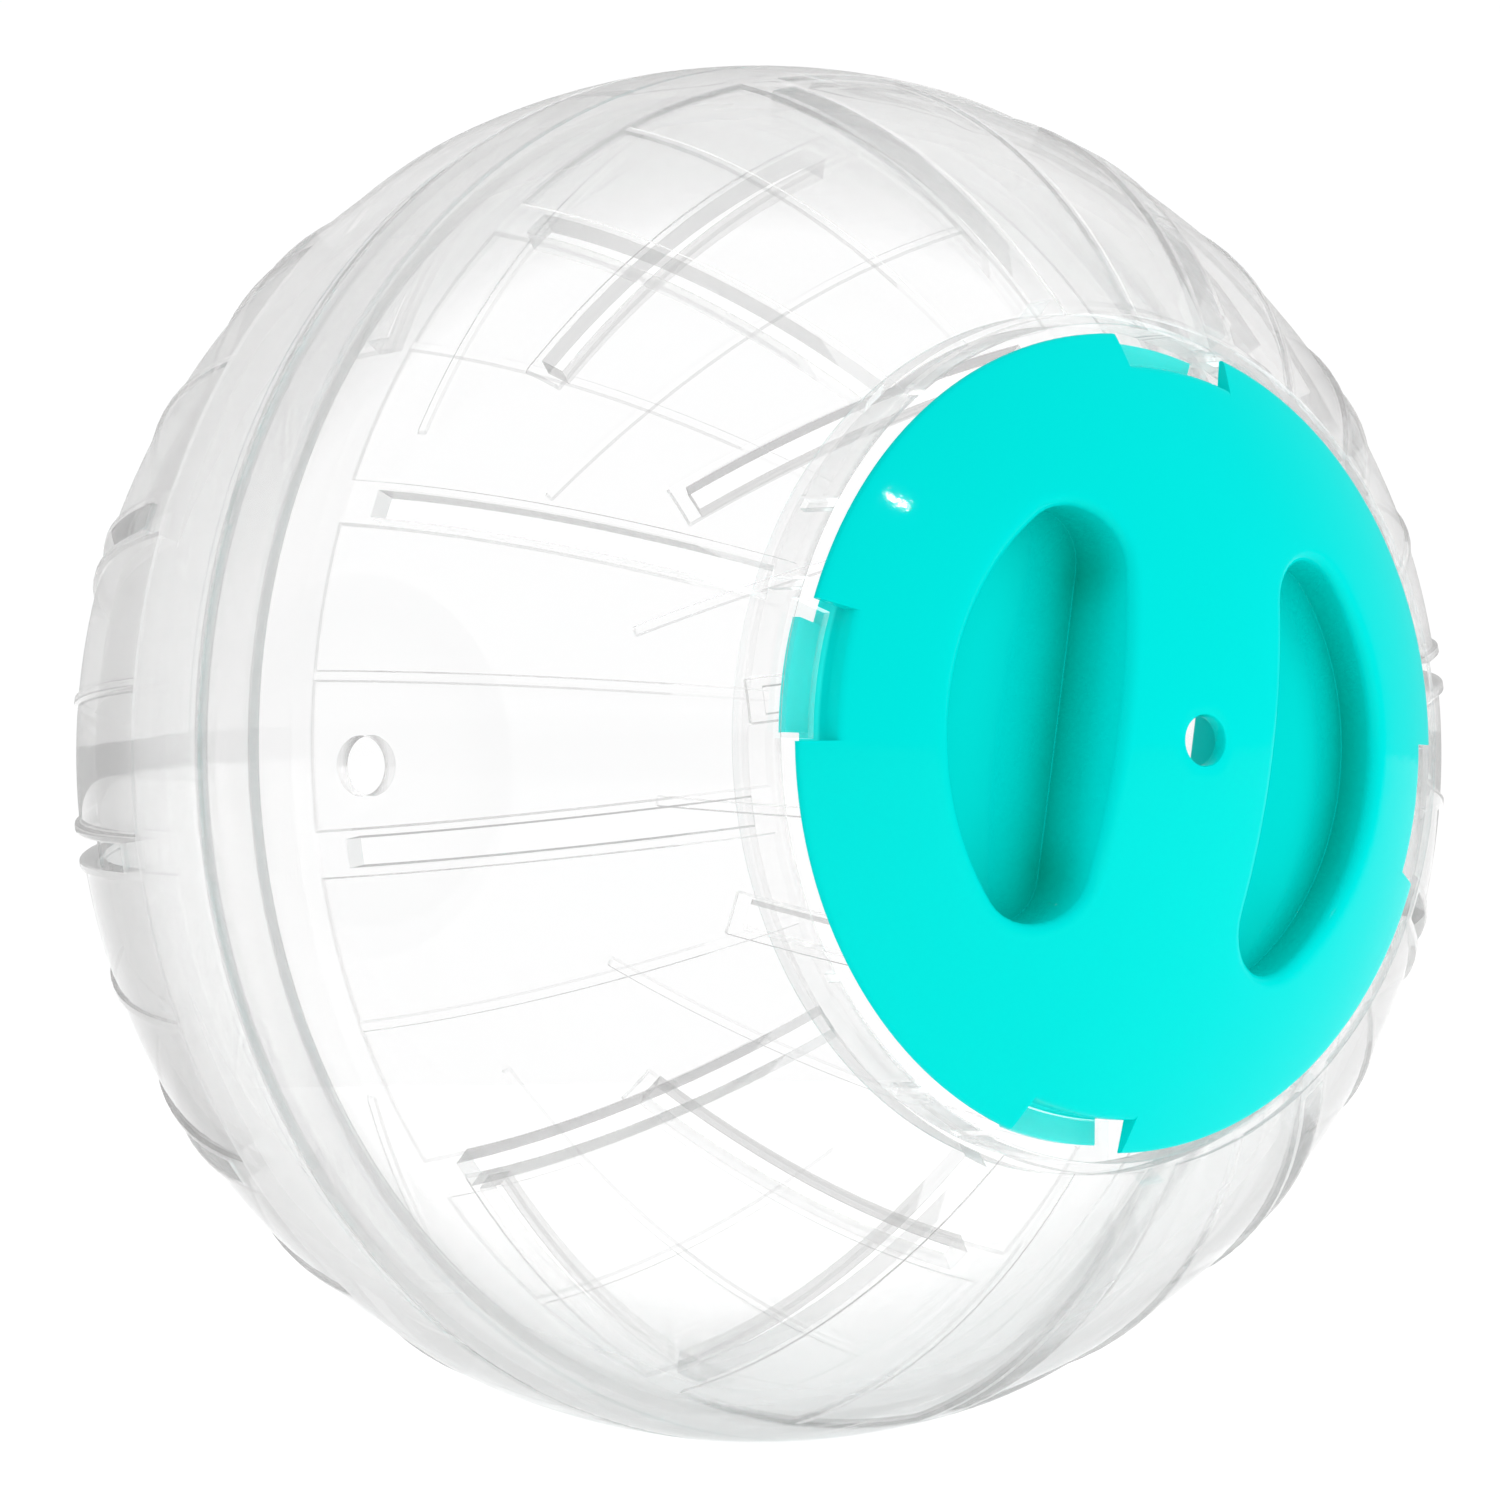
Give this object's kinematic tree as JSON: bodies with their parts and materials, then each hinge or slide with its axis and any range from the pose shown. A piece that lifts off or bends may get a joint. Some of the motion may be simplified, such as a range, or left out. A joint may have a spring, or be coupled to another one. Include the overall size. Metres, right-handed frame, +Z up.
{
  "type": "hamster ball",
  "caption": "Clear rolling ball for a small pet: slotted halves that pull apart at a lapped seam, and a coloured twist-lock door with a finger grip.",
  "frame": {"origin": "lowest point of the middle band, where the ball meets the floor, straight under the ball's centre", "axes": "-Y out of the door along the ball's axis, +Z up, +X to the right for someone who faces the door"},
  "size_m": [0.145, 0.1422, 0.145],
  "materials": {
    "clear_shell": "clear polished polystyrene, injection moulded, faintly grey at the edges",
    "turquoise_door": "opaque turquoise polypropylene, smooth satin gloss"
  },
  "bodies": {
    "rear_half": {"rear_shell": "clear_shell"},
    "front_half": {"front_shell": "clear_shell"},
    "door": {"door": "turquoise_door"}
  },
  "joints": [
    {"name": "halves_slide", "type": "slide", "parent": "rear_half", "child": "front_half", "axis": [0, -1, 0], "range_m": [0, 0.09]},
    {"name": "door_turn", "type": "hinge", "parent": "front_half", "child": "door", "pos_m": [0, -0.06, 0.0725], "axis": [0, -1, 0], "range_deg": [0, 55]}
  ]
}
